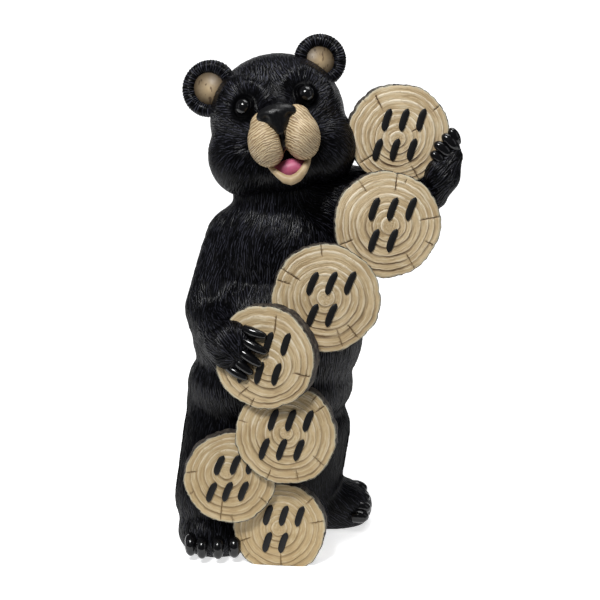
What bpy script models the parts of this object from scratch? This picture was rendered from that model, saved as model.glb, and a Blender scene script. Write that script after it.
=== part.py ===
"""A standing bear cub with a cascade of seven log slices held against its belly, cast as one piece.

Metres, +Z up. The bear faces -Y, so +X is on a viewer's right. The ground is z = 0 and the origin
lies under the middle of the figure's box.
"""

import math
from typing import NamedTuple

import bmesh
import bpy
import numpy as np
from mathutils import Matrix, Vector

# Driving dimensions.
HEIGHT = 0.600  # from the ground to the top of the higher ear
SLICE_THICKNESS = 0.024  # of a log slice, face to back
SLICE_CHAMFER = 0.0014  # where a sawn face meets the bark
MARK_RELIEF = 0.0018  # how far the black strokes stand off a sawn face
MARK_WIDTH = 0.0080  # of a black stroke at its middle
LOCK_RELIEF = 0.0022  # how far a lock of fur stands up at its tip
COARSE_GRAIN = 0.0046  # how finely the body's skin is made
FINE_GRAIN = 0.0026  # how finely the face and ears are

# Pose, proportions and carving are in parts of the height: one PART is a six-hundredth of it.
PART = HEIGHT / 600
MIDDLE = Vector((-4.8, -4.5, 0))  # the middle of the figure's box, which the origin is moved to

# How many facets the casting has.
FUR_TRIANGLES = 4800
SLICE_SIDES = 26
DIGIT_SIDES = 8

# The head's own axes: it leans to the viewer's left.
HEAD_CENTRE = Vector((-44, -14, 500))
HEAD_LEAN = math.radians(12)
HEAD_RIGHT = Vector((math.cos(HEAD_LEAN), 0, math.sin(HEAD_LEAN)))
HEAD_UP = Vector((-math.sin(HEAD_LEAN), 0, math.cos(HEAD_LEAN)))
HEAD_FRONT = Vector((0, -1, 0))


class LogSlice(NamedTuple):
    x: float  # of its middle
    z: float
    steps: float  # slice thicknesses in front of the highest slice
    radius: float
    turn: float  # degrees that its face turns to the viewer's right
    lean: float  # degrees that its face leans back
    strokes: tuple  # in its upper and lower row


FIRST_SLICE_Y = -34
SLICES = (
    LogSlice(87.6, 488.2, 0.00, 57.5, 4, 0, (3, 3)),
    LogSlice(74.2, 389.2, 0.95, 61.0, 3, 3, (3, 2)),
    LogSlice(5.2, 308.6, 1.92, 62.0, 4, 4, (3, 2)),
    LogSlice(-64.4, 247.2, 3.00, 59.0, -17, 3, (3, 3)),
    LogSlice(-40.0, 157.6, 2.83, 58.0, -7, 4, (3, 3)),
    LogSlice(-102.2, 105.0, 2.60, 53.0, 5, 5, (3, 3)),
    LogSlice(-47.8, 42.0, 2.33, 54.0, -7, 8, (3, 2)),
)
HELD = SLICES[3]  # the right hand lies on this one
RAISED = SLICES[0]  # the left hand holds this one's edge

FUR_BLACK = (0.012, 0.012, 0.017, 1.0)


def clear_scene():
    for thing in list(bpy.data.objects):
        bpy.data.objects.remove(thing, do_unlink=True)


def painted(name, colour, roughness):
    material = bpy.data.materials.new(name)
    material.use_nodes = True
    shader = material.node_tree.nodes["Principled BSDF"]
    shader.inputs["Base Color"].default_value = colour
    shader.inputs["Roughness"].default_value = roughness
    shader.inputs["Metallic"].default_value = 0.0
    return material


def head_place(right, front, up):
    """A point given along the head's own axes, from its centre."""
    return HEAD_CENTRE + right * HEAD_RIGHT + front * HEAD_FRONT + up * HEAD_UP


def head_axes():
    """A matrix whose columns are the head's right, back and up."""
    return Matrix((HEAD_RIGHT, -HEAD_FRONT, HEAD_UP)).transposed()


def add_ball(mesh, centre, radii, axes=None, detail=3):
    """An ellipsoid, with its radii along the axes given."""
    turn = (axes or Matrix.Identity(3)).to_4x4()
    place = Matrix.Translation(Vector(centre)) @ turn @ Matrix.Diagonal((*radii, 1))
    bmesh.ops.create_icosphere(mesh, subdivisions=detail, radius=1, matrix=place)


def ball_points(detail=2):
    """The vertices of a round ball of radius one."""
    mesh = bmesh.new()
    bmesh.ops.create_icosphere(mesh, subdivisions=detail, radius=1)
    points = [vert.co.copy() for vert in mesh.verts]
    mesh.free()
    return points


def add_limb(mesh, start, start_radius, end, end_radius):
    """Two balls and the cone between them, as the hull of both."""
    corners = []
    for centre, radius in ((start, start_radius), (end, end_radius)):
        corners += [mesh.verts.new(Vector(centre) + point * radius) for point in ball_points()]
    hull = bmesh.ops.convex_hull(mesh, input=corners)
    unused = [item for item in hull["geom_interior"] if isinstance(item, bmesh.types.BMVert)]
    bmesh.ops.delete(mesh, geom=unused, context="VERTS")


def add_ring(mesh, centre, axis, radius, thickness, sides=28, around=10):
    """A round ring about an axis, such as an ear's rim."""
    turn = Vector(axis).to_track_quat("Z", "Y").to_matrix()
    rows = []
    for i in range(sides):
        angle = 2 * math.pi * i / sides
        out = turn @ Vector((math.cos(angle), math.sin(angle), 0))
        up = turn @ Vector((0, 0, 1))
        row = []
        for j in range(around):
            bend = 2 * math.pi * j / around
            spot = out * (radius + thickness * math.cos(bend)) + up * thickness * math.sin(bend)
            row.append(mesh.verts.new(Vector(centre) + spot))
        rows.append(row)
    for i in range(sides):
        for j in range(around):
            here, there = rows[i], rows[(i + 1) % sides]
            k = (j + 1) % around
            mesh.faces.new((here[j], there[j], there[k], here[k]))


def new_object(name, mesh):
    """Moves the shapes from parts of the height to metres, and makes an object of them."""
    bmesh.ops.translate(mesh, verts=mesh.verts, vec=-MIDDLE)
    bmesh.ops.scale(mesh, verts=mesh.verts, vec=(PART, PART, PART))
    data = bpy.data.meshes.new(name)
    mesh.to_mesh(data)
    mesh.free()
    data.shade_smooth()
    data.set_sharp_from_angle(angle=math.radians(40))
    thing = bpy.data.objects.new(name, data)
    bpy.context.scene.collection.objects.link(thing)
    return thing


def evaluated(thing):
    """The object's mesh after its modifiers, and the object itself removed."""
    graph = bpy.context.evaluated_depsgraph_get()
    data = bpy.data.meshes.new_from_object(thing.evaluated_get(graph))
    bpy.data.objects.remove(thing, do_unlink=True)
    return data


def melt(thing, grain, rounds):
    """Melts overlapping shapes into one skin and rounds the creases between them."""
    remesh = thing.modifiers.new("skin", "REMESH")
    remesh.mode = "VOXEL"
    remesh.voxel_size = grain
    remesh.use_smooth_shade = True
    smooth = thing.modifiers.new("round", "SMOOTH")
    smooth.factor = 0.5
    smooth.iterations = rounds
    return evaluated(thing)


def slice_face(log):
    """A slice's place and turn: its x and y lie in the sawn face and its z points out of it."""
    y = FIRST_SLICE_Y - log.steps * SLICE_THICKNESS / PART
    upright = Matrix.Rotation(math.pi / 2, 4, "X")
    leaned = Matrix.Rotation(-math.radians(log.lean), 4, "X")
    turned = Matrix.Rotation(math.radians(log.turn), 4, "Z")
    return Matrix.Translation((log.x, y, log.z)) @ turned @ leaned @ upright


def on_slice(log, x, z, lift):
    """The point at x and z on a slice's sawn face, raised off it by lift."""
    face = slice_face(log)
    normal = face.to_3x3() @ Vector((0, 0, 1))
    middle = face.translation
    y = middle.y - (normal.x * (x - middle.x) + normal.z * (z - middle.z)) / normal.y
    return Vector((x, y, z)) + normal * lift


def torso(mesh):
    add_ball(mesh, (-44, 4, 418), (58, 52, 40))
    add_ball(mesh, (-46, 6, 350), (80, 66, 80))
    add_ball(mesh, (-50, 0, 254), (101, 81, 92))
    add_ball(mesh, (-59, 6, 192), (99, 82, 60))
    add_ball(mesh, (-116, 2, 168), (45, 44, 48))
    add_ball(mesh, (-60, 40, 166), (86, 58, 60))
    add_ball(mesh, (-60, 4, 134), (86, 66, 44))
    add_ball(mesh, (-58, 96, 172), (19, 20, 22))


def right_arm(mesh):
    """The arm on the viewer's left, which hangs and bends forward to the held slice."""
    add_ball(mesh, (-90, 8, 362), (42, 42, 42))
    add_limb(mesh, (-101, 6, 350), 36, (-126, -12, 284), 32)
    add_limb(mesh, (-123, -16, 272), 32, on_slice(HELD, -110, 260, -8), 26)
    add_ball(mesh, on_slice(HELD, -103, 256, 0), (25, 18, 29))


def left_arm(mesh):
    """The arm on the viewer's right, raised behind the upper slices."""
    add_limb(mesh, (22, 2, 409), 44, (98, 0, 402), 36)
    add_limb(mesh, (104, 0, 397), 30, on_slice(RAISED, 140, 442, -16), 22)
    add_ball(mesh, on_slice(RAISED, 142, 454, -10), (20, 19, 23))


def legs(mesh):
    add_limb(mesh, (-114, -4, 140), 50, (-125, -22, 56), 51)
    add_ball(mesh, (-122, -36, 22), (49, 48, 33))
    add_limb(mesh, (-12, 16, 134), 52, (-13, 42, 66), 44)
    add_ball(mesh, (10, 52, 22), (50, 36, 40))
    add_limb(mesh, (-22, 52, 30), 32, (28, 50, 24), 31)


def head_masses(mesh):
    axes = head_axes()
    add_ball(mesh, head_place(-4, -8, 6), (76, 74, 71), axes)
    add_ball(mesh, head_place(-49, 10, -28), (41, 46, 46), axes)
    add_ball(mesh, head_place(38, 10, -32), (41, 46, 46), axes)
    add_ball(mesh, head_place(-3, 12, -42), (60, 50, 36), axes)


def add_chain(mesh, row):
    """Limbs from each place of a row to the next, with a radius at each."""
    for (start, start_radius), (end, end_radius) in zip(row, row[1:]):
        add_limb(mesh, start, start_radius, end, end_radius)


def muzzle(mesh):
    """Two lobes under the nose, and below them an open mouth with a thick lower lip."""
    axes = head_axes()
    for side in (-1, 1):
        add_ball(mesh, head_place(19.5 * side, 72, -13.5), (20.5, 29, 27), axes)
        add_ball(mesh, head_place(18 * side, 68, 4), (16, 25, 17), axes)
    add_ball(mesh, head_place(-2, 56, 15), (21, 33, 16), axes)
    add_ball(mesh, head_place(-1.5, 88, 17.5), (21.5, 14, 9.5), axes)
    add_ball(mesh, head_place(-1, 92, 6), (13, 12, 12), axes)
    add_ball(mesh, head_place(0, 57, -49), (17, 24, 10), axes)
    add_ball(mesh, head_place(0.5, 63, -43), (13, 13, 9), axes)
    lip = (
        (-20, 73, -42, 3.6),
        (-13, 79, -50, 4.4),
        (-1, 81.5, -58, 5.5),
        (14, 78, -50.5, 4.8),
        (20, 73, -42, 3.8),
    )
    add_chain(mesh, [(head_place(a, b, c), radius) for a, b, c, radius in lip])


def eyes(mesh):
    for across in (-36.5, 33.5):
        add_ball(mesh, head_place(across, 51, 29), (9, 9, 9), detail=2)


def brows(mesh):
    """A raised ridge that arches over each eye."""
    ridge = ((-20, 34, 58, 8), (0, 20, 58, 9), (21, 8, 46, 8), (27, 14, 31, 6))
    for side, across in ((-1, 36), (1, 34)):
        add_chain(mesh, [(head_place(side * (across + a), b, c), radius) for a, b, c, radius in ridge])


def ears(mesh):
    """Round ears: a thick rim about a shallow hollow."""
    for centre, axis, radius in (
        (Vector((-127, 2, 538)), Vector((-0.22, -1.0, 0.10)), 25.5),
        (Vector((-1, 2, 570.5)), Vector((0.16, -1.0, 0.16)), 23.2),
    ):
        out = axis.normalized()
        add_ring(mesh, centre, out, radius, 7.4)
        turn = out.to_track_quat("Z", "Y").to_matrix()
        add_ball(mesh, centre - out * 4, (radius, radius, 5), turn)


def digit(mesh, base, tip, radius):
    """A short thick finger or toe: round in section, with a blunt tip."""
    reach = tip - base
    turn = reach.to_track_quat("Z", "Y").to_matrix()
    length = reach.length
    rings = []
    for along, wide in ((0, 0.98), (0.55 * length, 1.06), (length, 0.86), (length + 0.6 * radius, 0.5)):
        ring = []
        for i in range(DIGIT_SIDES):
            angle = 2 * math.pi * i / DIGIT_SIDES
            spot = Vector((math.cos(angle) * wide * radius, math.sin(angle) * wide * radius, along))
            ring.append(mesh.verts.new(base + turn @ spot))
        rings.append(ring)
    mesh.faces.new(reversed(rings[0]))
    mesh.faces.new(rings[-1])
    for lower, upper in zip(rings, rings[1:]):
        for i in range(DIGIT_SIDES):
            j = (i + 1) % DIGIT_SIDES
            mesh.faces.new((lower[i], lower[j], upper[j], upper[i]))


def held_hand_digits(mesh):
    for start, end, radius in (
        ((-83, 279), (-60, 272), 5.0),
        ((-83, 266), (-58.5, 253), 5.4),
        ((-87, 255), (-64.5, 238), 5.4),
        ((-92, 244), (-75, 229), 5.2),
        ((-101, 232), (-82, 222), 4.6),
    ):
        base = on_slice(HELD, *start, radius)
        tip = on_slice(HELD, *end, 0.6 * radius)
        digit(mesh, base, tip, radius)


def raised_hand_digits(mesh):
    for start, end, radius in (
        ((155, 480), (144.5, 492), 5.8),
        ((151, 473.5), (137, 486), 6.2),
        ((144, 466), (129, 478), 6.2),
        ((136, 459), (125, 468.5), 5.6),
    ):
        base = on_slice(RAISED, *start, 0.4 * radius)
        tip = on_slice(RAISED, *end, 0.7 * radius)
        digit(mesh, base, tip, radius)


def toes(mesh):
    for x, tip_y, radius in ((-150, -84, 7.0), (-136.5, -93, 6.8), (-118, -94, 7.2), (-99.5, -90, 7.6)):
        digit(mesh, Vector((x, tip_y + 13, 25)), Vector((x, tip_y + 6, 8)), radius)
    for tip in ((57, 57, 37), (60, 45, 29), (60, 33, 20.5), (57.5, 23, 13)):
        digit(mesh, Vector(tip) + Vector((-21, 1, 10)), Vector(tip), 7.2)


def lock_height(points):
    """Overlapping locks of fur in staggered rows round the body: each rises to a tip below."""
    row_height, around = 34.0, 19
    turn = np.arctan2(points[:, 0] + 52, -points[:, 1]) / (2 * np.pi) * around
    sweep = points[:, 2] / row_height + 0.3 * np.sin(turn * 1.7)
    row = np.floor(sweep)
    across = turn + 0.5 * (row % 2) + 0.11 * np.sin(row * 2.3)
    across = 2 * (across - np.floor(across)) - 1
    down = 1 - (sweep - row)
    width = 1.05 - 0.7 * down**3
    return down * np.clip(1 - (across / width) ** 2, 0, 1)


def fur_share(points):
    """One on the body, arms and legs, and nothing on the head, hands, feet and what is held."""
    below_head = np.clip((415 - points[:, 2]) / 25, 0, 1)
    above_feet = np.clip((points[:, 2] - 55) / 25, 0, 1)
    off_hand = np.clip((points[:, 1] + 78) / 14, 0, 1)
    off_raised = np.clip((118 - points[:, 0]) / 20, 0, 1)
    return below_head * above_feet * off_hand * off_raised


def carve_locks(data):
    count = len(data.vertices)
    places = np.empty(count * 3, np.float32)
    normals = np.empty(count * 3, np.float32)
    data.vertices.foreach_get("co", places)
    data.vertices.foreach_get("normal", normals)
    places = places.reshape(-1, 3).astype(float)
    parts = places / PART + np.array(MIDDLE)
    raised = LOCK_RELIEF * lock_height(parts) * fur_share(parts)
    places += normals.reshape(-1, 3) * raised[:, None]
    data.vertices.foreach_set("co", places.astype(np.float32).ravel())
    data.update()


def thin_out(body):
    """Leaves large facets where the form is plain and small ones where it turns sharply."""
    thin = body.modifiers.new("facets", "DECIMATE")
    thin.ratio = FUR_TRIANGLES / (2 * len(body.data.vertices))


def bear():
    """The animal as one skin but for its eyes, fingers and toes, with locks carved into it."""
    soft = bmesh.new()
    for form in (torso, right_arm, left_arm, legs, head_masses):
        form(soft)
    rounded = melt(new_object("soft_masses", soft), COARSE_GRAIN, rounds=9)
    detail = bmesh.new()
    for form in (muzzle, brows, ears):
        form(detail)
    skin = new_object("details", detail)
    joined = bmesh.new()
    joined.from_mesh(rounded)
    joined.from_mesh(skin.data)
    joined.to_mesh(skin.data)
    joined.free()
    fine = melt(skin, FINE_GRAIN, rounds=2)
    carve_locks(fine)
    body = bpy.data.objects.new("bear_with_log_slices", fine)
    bpy.context.scene.collection.objects.link(body)
    thin_out(body)
    return body


def eyes_and_digits():
    """The glossy knobs: two eyes, nine fingers and eight toes."""
    mesh = bmesh.new()
    for form in (eyes, held_hand_digits, raised_hand_digits, toes):
        form(mesh)
    return new_object("eyes_and_digits", mesh)


def slice_edge(angle, number):
    """How a slice's outline strays from round, as a share of its radius."""
    return 0.012 * math.sin(3 * angle + number) + 0.009 * math.sin(7 * angle + 2.1 * number)


def log_slice(number, log):
    chamfer = SLICE_CHAMFER / PART
    back = -SLICE_THICKNESS / PART
    mesh = bmesh.new()
    rings = []
    for inset, height in ((chamfer, 0), (0, -chamfer), (0, back)):
        ring = []
        for i in range(SLICE_SIDES):
            angle = 2 * math.pi * i / SLICE_SIDES
            out = log.radius * (1 + slice_edge(angle, number)) - inset
            ring.append(mesh.verts.new((out * math.cos(angle), out * math.sin(angle), height)))
        rings.append(ring)
    mesh.faces.new(rings[0])
    mesh.faces.new(reversed(rings[-1]))
    for upper, lower in zip(rings, rings[1:]):
        for i in range(SLICE_SIDES):
            j = (i + 1) % SLICE_SIDES
            mesh.faces.new((upper[j], upper[i], lower[i], lower[j]))
    bmesh.ops.transform(mesh, matrix=slice_face(log), verts=mesh.verts)
    return new_object(f"slice_{number + 1}", mesh)


def add_stroke(mesh, middle, length, slant, stations=5):
    """A raised brush stroke on a slice's face: slightly bent, and narrow at both ends."""
    along = Vector((math.sin(slant), math.cos(slant), 0))
    across = Vector((along.y, -along.x, 0))
    top = MARK_RELIEF / PART
    rows = []
    for i in range(stations):
        t = 2 * i / (stations - 1) - 1
        spine = Vector((*middle, 0)) + along * (t * length / 2) + across * (0.04 * length * t * t)
        half = MARK_WIDTH / PART / 2 * (1 - 0.5 * t**4)
        low, high = Vector((0, 0, -top)), Vector((0, 0, top))
        row = (
            spine - across * half + low,
            spine - across * half * 0.72 + high,
            spine + across * half * 0.72 + high,
            spine + across * half + low,
        )
        rows.append([mesh.verts.new(place) for place in row])
    for here, there in zip(rows, rows[1:]):
        for j in range(4):
            k = (j + 1) % 4
            mesh.faces.new((here[j], there[j], there[k], here[k]))
    mesh.faces.new(rows[0])
    mesh.faces.new(reversed(rows[-1]))


def slice_marks(number, log):
    """Two rows of plain slanting strokes across the middle of a slice."""
    slant = math.radians(17 + 3 * (number % 3))
    mesh = bmesh.new()
    for line, count in enumerate(log.strokes):
        up = log.radius * (0.29 - 0.58 * line)
        for i in range(count):
            right = log.radius * 0.34 * (i - (count - 1) / 2)
            add_stroke(mesh, (right + 0.3 * up, up), 0.46 * log.radius, slant)
    bmesh.ops.recalc_face_normals(mesh, faces=mesh.faces)
    bmesh.ops.transform(mesh, matrix=slice_face(log), verts=mesh.verts)
    return new_object(f"marks_{number + 1}", mesh)


def ground_block():
    """What lies below the ground: it cuts the soles and the lowest slice flat."""
    wide, deep = 900, 200
    mesh = bmesh.new()
    bmesh.ops.create_cube(mesh, size=1, matrix=Matrix.Diagonal((wide, wide, deep, 1)))
    bmesh.ops.translate(mesh, verts=mesh.verts, vec=(0, 0, -deep / 2))
    return new_object("below_ground", mesh)


def merge(body, other, operation, crossing=False):
    """Joins a helper to the body, or cuts it away, and hides the helper."""
    join = body.modifiers.new(other.name, "BOOLEAN")
    join.operation = operation
    join.use_self = crossing
    join.solver = "EXACT"
    join.object = other
    other.hide_render = True
    other.display_type = "WIRE"


def flatten_shading(body):
    """Lets the large sawn faces keep their own normal where a stroke or a finger meets them."""
    shading = body.modifiers.new("shading", "WEIGHTED_NORMAL")
    shading.keep_sharp = True


def main():
    clear_scene()
    figure = bear()
    merge(figure, eyes_and_digits(), "UNION", crossing=True)
    for number, log in enumerate(SLICES):
        merge(figure, log_slice(number, log), "UNION")
        merge(figure, slice_marks(number, log), "UNION")
    merge(figure, ground_block(), "DIFFERENCE")
    flatten_shading(figure)
    figure.data.materials.append(painted("painted_black_fur", FUR_BLACK, 0.38))


main()
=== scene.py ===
# %% [markdown]
# # A bear cub that holds a cascade of log slices
#
# The real object is one resin casting, painted by hand: semi-gloss black on the fur, high gloss on the
# eyes, fingers and toes, and tan with a dark wash on the sawn wood. The plain solid of the casting gives us
# its place and size, and we dress it with finer pieces.

# %% Load the casting's plain solid
import math

import bmesh
import bpy
import numpy as np
from mathutils import Matrix, Vector, kdtree, noise


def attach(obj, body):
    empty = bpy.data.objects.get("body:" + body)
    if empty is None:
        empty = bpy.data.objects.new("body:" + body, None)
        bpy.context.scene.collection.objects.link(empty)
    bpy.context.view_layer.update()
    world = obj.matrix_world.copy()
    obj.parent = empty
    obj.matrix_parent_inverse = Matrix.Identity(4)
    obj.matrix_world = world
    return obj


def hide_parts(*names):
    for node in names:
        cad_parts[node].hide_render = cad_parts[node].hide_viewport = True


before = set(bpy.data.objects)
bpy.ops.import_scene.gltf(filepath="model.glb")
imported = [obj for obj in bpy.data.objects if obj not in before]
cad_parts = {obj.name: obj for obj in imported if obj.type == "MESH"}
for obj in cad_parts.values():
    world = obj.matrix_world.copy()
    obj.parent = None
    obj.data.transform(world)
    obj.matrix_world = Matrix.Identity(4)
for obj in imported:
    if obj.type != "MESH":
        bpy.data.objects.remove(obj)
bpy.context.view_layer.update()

CASTING = "bear_with_log_slices"

# %% [markdown]
# ## The figure's own units
#
# One part is a thousandth of a metre here, and the figure's middle is moved to the origin. The head leans,
# so it gets axes of its own: a place on the face is how far right, how far to the front and how far up.

# %% Parts of the height, and the head's axes
PART = 0.001
MIDDLE = Vector((-4.8, -4.5, 0))
HEAD_CENTRE = Vector((-44, -14, 500))
HEAD_LEAN = math.radians(12)
HEAD_RIGHT = Vector((math.cos(HEAD_LEAN), 0, math.sin(HEAD_LEAN)))
HEAD_UP = Vector((-math.sin(HEAD_LEAN), 0, math.cos(HEAD_LEAN)))
HEAD_FRONT = Vector((0, -1, 0))
HEAD_AXES = Matrix((HEAD_RIGHT, -HEAD_FRONT, HEAD_UP)).transposed()


def metres(place):
    """A place in parts of the height, as metres in the frame."""
    return (Vector(place) - MIDDLE) * PART


def rows_in_metres(rows):
    """Rows of places in parts, as metres in the frame, and nothing below the ground."""
    points = (np.array(rows) - np.array(MIDDLE)) * PART
    points[:, 2] = np.maximum(points[:, 2], 0)
    return points


def rows_in_parts(points):
    return points / PART + np.array(MIDDLE)


def on_head(right, front, up):
    """A place given along the head's own axes, in parts."""
    return HEAD_CENTRE + right * HEAD_RIGHT + front * HEAD_FRONT + up * HEAD_UP


def head_places(points):
    """Columns right, front and up of frame points, in parts."""
    away = rows_in_parts(points) - np.array(HEAD_CENTRE)
    return away @ np.array([HEAD_RIGHT, HEAD_FRONT, HEAD_UP]).T


print("the head's centre is at", [round(c, 3) for c in metres(HEAD_CENTRE)])

# %% [markdown]
# ## Camera
#
# A long lens, a little above the top of the figure. Its place was found by matching the slices' centres,
# the ears and the feet to the photo.

# %% Camera
LENS = 83.094
CAMERA_PLACE = Vector((-0.0190, -1.5955, 0.600))
CAMERA_AIM = Vector((-0.0190, 0.0045, 0.2920))

camera = bpy.data.objects.new("camera", bpy.data.cameras.new("camera"))
bpy.context.scene.collection.objects.link(camera)
camera.data.sensor_width = 36
camera.data.lens = LENS
camera.location = CAMERA_PLACE
camera.rotation_euler = (CAMERA_AIM - camera.location).to_track_quat("-Z", "Y").to_euler()
bpy.context.scene.camera = camera
print("the camera looks down by", round(math.degrees(math.pi / 2 - camera.rotation_euler.x), 1), "degrees")

# %% [markdown]
# ## Studio
#
# Black gloss shows nothing but reflections, so the lights are big soft boxes. The one above and in front
# draws the highlights on fingers and toes, and the side ones the rims. The paper sweeps up behind, without
# a horizon.


# %% Lights and paper
def soft_box(name, place, size, power, colour=(1, 1, 1)):
    light = bpy.data.lights.new(name, "AREA")
    light.shape = "RECTANGLE"
    light.size, light.size_y = size
    light.energy = power
    light.color = colour
    lamp = bpy.data.objects.new(name, light)
    lamp.location = place
    lamp.rotation_euler = (Vector((0, 0, 0.3)) - lamp.location).to_track_quat("-Z", "Y").to_euler()
    bpy.context.scene.collection.objects.link(lamp)


soft_box("key_box", (-0.50, -1.20, 1.60), (0.5, 0.4), 31)
soft_box("top_box", (0.35, 0.15, 1.9), (1.0, 0.8), 12)
soft_box("left_box", (-1.8, -0.4, 0.8), (0.5, 1.4), 1.6, (0.94, 0.97, 1.0))
soft_box("right_box", (1.7, -0.7, 0.9), (0.5, 1.4), 2.2, (0.95, 0.97, 1.0))

world = bpy.data.worlds.new("studio")
bpy.context.scene.world = world
world.use_nodes = True
backdrop = world.node_tree.nodes["Background"].inputs
backdrop["Color"].default_value = (0.92, 0.95, 1.0, 1)
backdrop["Strength"].default_value = 0.10
bpy.context.scene.view_settings.view_transform = "Standard"


def paper_sweep():
    """Paper that lies flat and then bends up behind the figure."""
    half, bend, back, top = 1.5, 0.8, 2.4, 1.6
    profile = [(-0.32, 0), (back - bend, 0)]
    for i in range(1, 13):
        angle = math.pi / 2 * i / 12
        profile.append((back - bend + bend * math.sin(angle), bend * (1 - math.cos(angle))))
    profile.append((back, top))
    mesh = bmesh.new()
    rows = [[mesh.verts.new((side * half, y, z)) for side in (-1, 1)] for y, z in profile]
    for near, far in zip(rows, rows[1:]):
        mesh.faces.new((near[0], near[1], far[1], far[0]))
    data = bpy.data.meshes.new("paper")
    mesh.to_mesh(data)
    mesh.free()
    data.shade_smooth()
    paper = bpy.data.objects.new("paper", data)
    bpy.context.scene.collection.objects.link(paper)
    return paper


paper = paper_sweep()
print("four soft boxes and a paper sweep")

# %% [markdown]
# ## Shader maths as plain expressions
#
# This small class wraps one socket, so that a sum such as 1 - mask * 0.5 adds the Math nodes by itself. All
# other nodes come from one method, which takes a node's type, its settings and what goes into its sockets.


# %% A socket that can be calculated with
class Wire:
    def __init__(self, tree, socket):
        self.tree = tree
        self.socket = socket

    def math(self, operation, first, second, clamp=False):
        settings = {"operation": operation, "use_clamp": clamp}
        return Paint(self.tree).node("ShaderNodeMath", settings, {0: first, 1: second})

    def __add__(self, other):
        return self.math("ADD", self, other)

    def __sub__(self, other):
        return self.math("SUBTRACT", self, other)

    def __rsub__(self, other):
        return self.math("SUBTRACT", other, self)

    def __mul__(self, other):
        return self.math("MULTIPLY", self, other)

    def __pow__(self, other):
        return self.math("POWER", self, other)

    __radd__ = __add__
    __rmul__ = __mul__

    def clamped(self):
        return self.math("ADD", self, 0.0, clamp=True)

    def between(self, low, high):
        """Nothing at low and below, one at high and above, and smooth between."""
        values = {"Value": self, "From Min": low, "From Max": high}
        return Paint(self.tree).node("ShaderNodeMapRange", {"interpolation_type": "SMOOTHSTEP"}, values)


class Paint:
    """One material's node tree."""

    def __init__(self, tree):
        self.tree = tree

    def node(self, kind, settings=None, values=None, output=0):
        made = self.tree.nodes.new(kind)
        for name, value in (settings or {}).items():
            setattr(made, name, value)
        for name, value in (values or {}).items():
            if isinstance(value, Wire):
                self.tree.links.new(value.socket, made.inputs[name])
            else:
                made.inputs[name].default_value = value
        return Wire(self.tree, made.outputs[output])

    def mixed(self, factor, first, second):
        """A colour between two colours."""
        values = {0: factor}
        for index, colour in ((6, first), (7, second)):
            values[index] = colour if isinstance(colour, Wire) else (*colour, 1)
        return self.node("ShaderNodeMix", {"data_type": "RGBA"}, values, output=2)

    def noise(self, place, scale, detail=2.0, roughness=0.5):
        values = {"Vector": place, "Scale": scale, "Detail": detail, "Roughness": roughness}
        return self.node("ShaderNodeTexNoise", None, values)

    def attribute(self, name, output):
        """What was stored on the mesh: output 1 is a vector and 2 a number."""
        return self.node("ShaderNodeAttribute", {"attribute_name": name}, None, output)

    def stretched(self, place, scale):
        """The place with each direction scaled by itself."""
        return self.node("ShaderNodeVectorMath", {"operation": "MULTIPLY"}, {0: place, 1: scale})

    def spot(self):
        """The place on the piece, in metres."""
        return self.node("ShaderNodeTexCoord", None, None, output=3)

    def cloud(self, scale, detail=3.0):
        """Noise on the place on the piece."""
        return self.noise(self.spot(), scale, detail)

    def bump(self, height, distance, strength=1.0):
        values = {"Height": height, "Distance": distance, "Strength": strength}
        return self.node("ShaderNodeBump", None, values)


def new_paint(name, roughness=0.5, coat=0.0, specular=0.5):
    """A material with its shader: (material, paint, shader node)."""
    material = bpy.data.materials.new(name)
    material.use_nodes = True
    shader = material.node_tree.nodes["Principled BSDF"]
    shader.inputs["Roughness"].default_value = roughness
    shader.inputs["Coat Weight"].default_value = coat
    shader.inputs["Specular IOR Level"].default_value = specular
    return material, Paint(material.node_tree), shader


def feed(shader, name, wire):
    shader.id_data.links.new(wire.socket, shader.inputs[name])


def dress(shader, colour, roughness, normal):
    """The three things that vary over every paint."""
    for name, wire in (("Base Color", colour), ("Roughness", roughness), ("Normal", normal)):
        feed(shader, name, wire)


print("shader helpers are ready")

# %% [markdown]
# ## Paints
#
# The fur is black, with a bluish painted highlight on the hairs' crests. The hairs are too fine for the
# mesh, so they are a bump: every tuft carries its own coordinates, and bands of noise are stretched along
# them. The gloss fades at the rims and where the carving is bare.


# %% Black fur
HAIR_SPACING = 2.9


def fur_paint():
    material, paint, shader = new_paint("black_fur", specular=0.15)
    strand = paint.attribute("strand", 1)
    across = paint.stretched(strand, (0.314 / HAIR_SPACING, 0.022, 1.0))
    values = {"Vector": across, "Scale": 1.0, "Distortion": 2.2, "Detail": 1.0, "Detail Scale": 4.0}
    wave = paint.node("ShaderNodeTexWave", {"bands_direction": "X"}, values, output=1)
    clumps = paint.noise(paint.stretched(strand, (0.30, 0.07, 1.0)), 1.0, detail=1.0)
    patches = paint.cloud(22.0)
    furry = 1 - paint.attribute("bare", 2)
    # Painted highlight: the hairs' crests are painted a lighter blue-grey, less where the carving is bare.
    crest = wave.between(0.55, 0.98) * clumps.between(0.38, 0.62) * furry
    colour = paint.mixed(crest, (0.0004, 0.0004, 0.0007), (0.048, 0.049, 0.066))
    colour = paint.mixed(patches.between(0.5, 0.8) * 0.5, colour, (0.003, 0.003, 0.003))
    normal = paint.bump(wave * (0.5 + 0.7 * clumps) * (0.15 + 0.85 * furry), 0.00072, 1.0)
    dress(shader, colour, 0.24 + 0.14 * patches, normal)
    rim = paint.node("ShaderNodeLayerWeight", None, {"Blend": 0.5}, output=1)
    dull = (0.8 * rim**3 + 0.8 * (1 - furry)).clamped()
    plain = paint.node("ShaderNodeBsdfDiffuse", None, {"Color": (0.0012, 0.0012, 0.0015, 1)})
    glossy = Wire(paint.tree, shader.outputs[0])
    surface = paint.node("ShaderNodeMixShader", None, {0: dull, 1: glossy, 2: plain})
    feed(material.node_tree.nodes["Material Output"], "Surface", surface)
    return material


FUR = fur_paint()


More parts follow.
